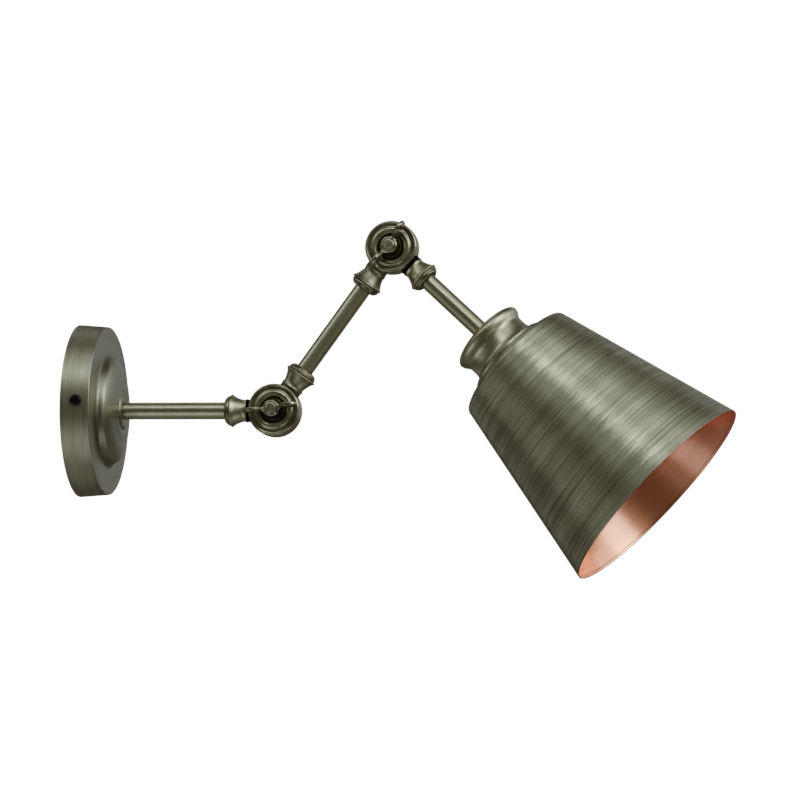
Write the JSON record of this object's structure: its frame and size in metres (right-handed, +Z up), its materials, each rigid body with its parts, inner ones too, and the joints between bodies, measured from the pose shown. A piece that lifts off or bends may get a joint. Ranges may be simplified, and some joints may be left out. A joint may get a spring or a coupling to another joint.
{
  "type": "articulating wall lamp",
  "caption": "Articulating wall lamp: round wall plate, slim tube arms joined by friction knuckles with wing nuts, and a metal cone shade over a screw lampholder.",
  "frame": {"origin": "on the wall, in the middle of the wall plate's back and of the two wall screw holes", "axes": "+X leaves the wall along the first arm tube, +Z is up, both knuckles turn about Y and the wing nuts are on the -Y side"},
  "size_m": [0.4597, 0.1556, 0.2478],
  "materials": {
    "aged_plate": "antique pewter plating, brushed round the rim, satin face",
    "aged_tube": "antique pewter plating, brushed",
    "aged_turned": "antique pewter plating, turned",
    "aged_cast": "antique pewter plating, darker in the recesses",
    "aged_cup": "antique pewter plating, satin",
    "aged_shade": "antique pewter plating brushed round the cone outside, brushed satin copper inside",
    "black_screw": "black oxide",
    "zinc_steel": "zinc plated",
    "brass": "plain brass",
    "plated_brass": "nickel plated brass",
    "white_plastic": "white nylon",
    "black_plastic": "black moulded plastic",
    "ceramic": "glazed ceramic",
    "fibre": "pressed fibre",
    "flex_sheath": "clear heat-proof sheath",
    "core_pvc": "brown, blue and green-yellow insulation"
  },
  "bodies": {
    "wall_base": {"wall_bracket": "zinc_steel", "wall_plate": "aged_plate", "plate_screws": "black_screw", "terminal_block": "white_plastic", "terminal_inserts": "brass", "terminal_screws": "zinc_steel", "earth_screw": "brass", "earth_tag": "zinc_steel", "supply_cores": "core_pvc", "wall_nipple": "brass", "nipple_washer": "zinc_steel", "nipple_nut": "zinc_steel", "wall_tube": "aged_tube", "wall_ferrule": "aged_turned", "knuckle_1_rear": "aged_cast", "knuckle_1_bolt": "aged_cast", "knuckle_1_friction_disc": "fibre", "knuckle_1_washer": "aged_turned", "wall_flex": "flex_sheath"},
    "wing_1": {"wing_nut_1": "aged_cast"},
    "mid_arm": {"knuckle_1_front": "aged_cast", "mid_ferrules": "aged_turned", "mid_tube": "aged_tube", "knuckle_2_front": "aged_cast", "mid_flex": "flex_sheath"},
    "head": {"knuckle_2_rear": "aged_cast", "knuckle_2_bolt": "aged_cast", "knuckle_2_friction_disc": "fibre", "knuckle_2_washer": "aged_turned", "head_ferrule": "aged_turned", "head_tube": "aged_tube", "head_flex": "flex_sheath", "cup_nipple": "brass", "cup_washer": "zinc_steel", "cup_nut": "zinc_steel", "shade_cup": "aged_cup", "lampholder_cap": "black_plastic", "lampholder_insulator": "ceramic", "lampholder_terminals": "brass", "lampholder_cores": "core_pvc", "centre_contact": "brass", "screw_shell": "plated_brass", "lampholder_skirt": "black_plastic", "shade": "aged_shade", "shade_ring": "black_plastic"},
    "wing_2": {"wing_nut_2": "aged_cast"}
  },
  "joints": [
    {"name": "knuckle_1", "type": "hinge", "parent": "wall_base", "child": "mid_arm", "pos_m": [0.13887, 0, 0], "axis": [0, -1, 0], "range_deg": [-75, 30]},
    {"name": "knuckle_2", "type": "hinge", "parent": "mid_arm", "child": "head", "pos_m": [0.21907, 0, 0.11378], "axis": [0, -1, 0], "range_deg": [-35, 120]},
    {"name": "wing_1_turn", "type": "hinge", "parent": "wall_base", "child": "wing_1", "pos_m": [0.13887, -0.0114, 0], "axis": [0, -1, 0], "continuous": true},
    {"name": "wing_2_turn", "type": "hinge", "parent": "head", "child": "wing_2", "pos_m": [0.21907, -0.0114, 0.11378], "axis": [0, -1, 0], "continuous": true}
  ]
}
